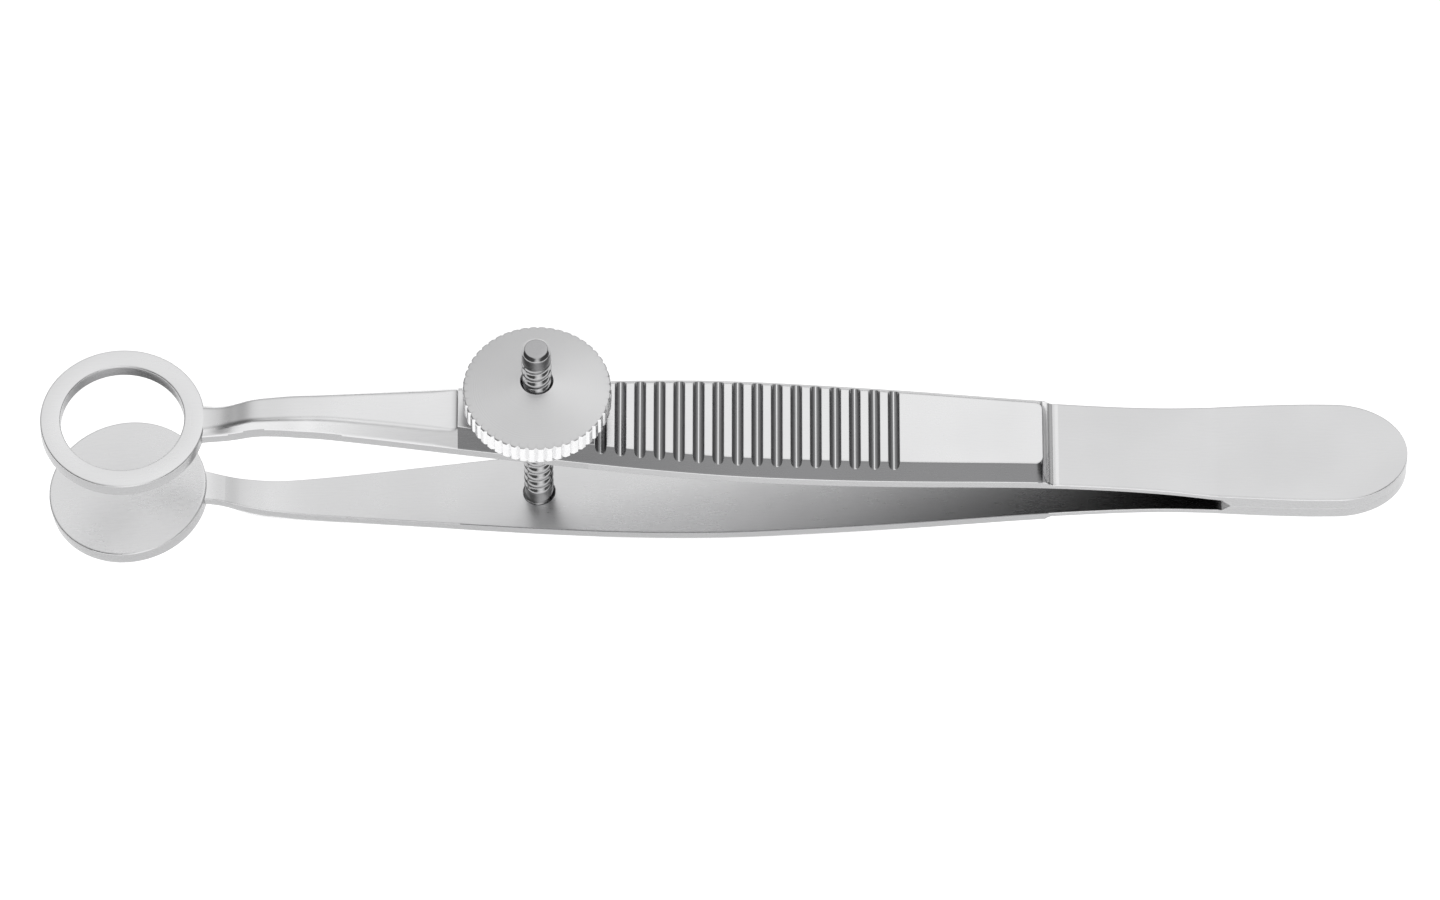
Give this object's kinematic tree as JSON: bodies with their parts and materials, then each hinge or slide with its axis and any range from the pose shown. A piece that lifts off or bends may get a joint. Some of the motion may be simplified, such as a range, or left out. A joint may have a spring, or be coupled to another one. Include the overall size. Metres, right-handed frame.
{
  "type": "eyelid clamp forceps",
  "caption": "Sprung clamp forceps with a ring jaw over a solid plate jaw, cross-grooved finger grips and a knurled thumb nut on a threaded post.",
  "frame": {"origin": "under the middle of the object's box, at the height of its lowest point, which is the underside of the lower arm", "axes": "+X from the jaws to the tail, along the length; +Z from the plate jaw to the ring jaw, along the post; +Y across the arms"},
  "size_m": [0.0898, 0.0108, 0.0192],
  "materials": {
    "arm_steel": "fine satin",
    "weld_steel": "fine satin",
    "post_steel": "bright turned steel",
    "nut_steel": "turned satin"
  },
  "bodies": {
    "tail": {"upper_tail": "arm_steel", "lower_tail": "arm_steel", "tail_weld": "weld_steel"},
    "upper_arm": {"ring_arm": "arm_steel"},
    "lower_arm": {"plate_arm": "arm_steel", "screw_post": "post_steel"},
    "nut_hub": {"nut_collar": "nut_steel"},
    "nut": {"thumb_nut": "nut_steel"}
  },
  "joints": [
    {"name": "upper_flex", "type": "hinge", "parent": "tail", "child": "upper_arm", "pos_m": [0.028, 0, 0.00737], "axis": [0, 1, 0], "range_deg": [-3.08, 0.59], "stiffness_Nm_per_rad": 1.5, "springref_deg": 1.6},
    {"name": "lower_flex", "type": "hinge", "parent": "tail", "child": "lower_arm", "pos_m": [0.028, 0, 0.00505], "axis": [0, 1, 0], "range_deg": [-0.59, 3.08], "stiffness_Nm_per_rad": 1.5, "springref_deg": -1.6},
    {"name": "nut_travel", "type": "slide", "parent": "lower_arm", "child": "nut_hub", "axis": [0, 0, 1], "range_m": [-0.00438, 0.00084]},
    {"name": "nut_spin", "type": "hinge", "parent": "nut_hub", "child": "nut", "pos_m": [-0.0122, 0, 0.01321], "axis": [0, 0, 1], "range_deg": [-1877.6, 360]}
  ],
  "couplings": [
    {"joint": "nut_spin", "follows": "nut_travel", "rad_per_m": 7480},
    {"joint": "upper_flex", "follows": "nut_travel", "rad_per_m": 12.27},
    {"joint": "lower_flex", "follows": "nut_travel", "rad_per_m": -12.27}
  ]
}
